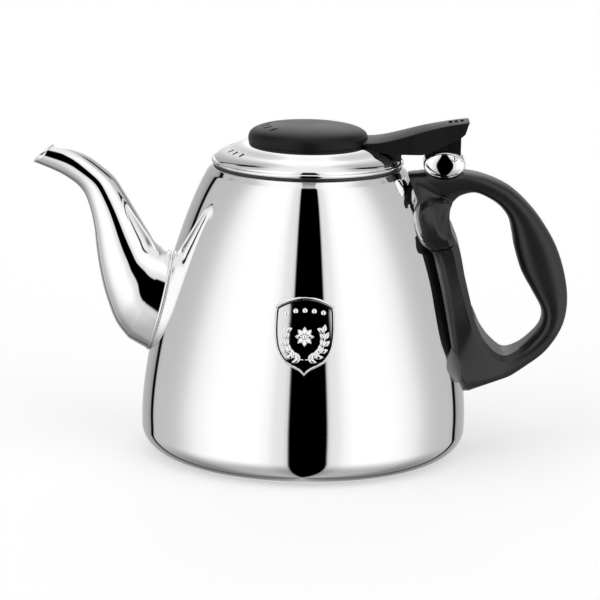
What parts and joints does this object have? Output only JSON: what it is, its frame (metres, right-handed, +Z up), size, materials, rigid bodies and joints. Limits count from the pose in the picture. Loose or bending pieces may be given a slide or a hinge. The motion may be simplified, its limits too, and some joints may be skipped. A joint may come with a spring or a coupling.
{
  "type": "gooseneck kettle",
  "caption": "Polished steel gooseneck kettle with a bell-shaped body, a black moulded loop handle and a lever lid that tips back on a pin.",
  "frame": {"origin": "centre of the flat underside of the base, on the body's axis, on the surface that the kettle stands on", "axes": "+Z up along the body's axis, +X towards the handle, -X towards the spout"},
  "size_m": [0.2463, 0.15, 0.1547],
  "materials": {
    "polished_steel": "mirror-polished stainless steel",
    "plain_steel": "plain stainless steel, satin",
    "chrome": "bright chrome plate",
    "aluminium": "plain aluminium",
    "black_moulding": "black phenolic moulding with a fine grain, satin"
  },
  "bodies": {
    "kettle": {"body_floor": "plain_steel", "body_foot": "polished_steel", "body_side": "polished_steel", "body_neck": "polished_steel", "base_core": "aluminium", "base_cap": "plain_steel", "spout": "polished_steel", "spout_collar": "polished_steel", "badge": "polished_steel", "handle": "black_moulding", "upper_bracket": "plain_steel", "housing_screw": "plain_steel", "lower_stud": "plain_steel", "lower_screw": "plain_steel", "lower_washer": "plain_steel", "hinge_housing": "chrome", "hinge_pin": "plain_steel"},
    "lid": {"lid_plate": "polished_steel", "lid_sleeve": "plain_steel", "lid_cap": "black_moulding", "lid_screws": "plain_steel", "lid_washers": "plain_steel"}
  },
  "joints": [
    {"name": "lid_hinge", "type": "hinge", "parent": "kettle", "child": "lid", "pos_m": [0.0668, 0, 0.1382], "axis": [0, 1, 0], "range_deg": [0, 90]}
  ]
}
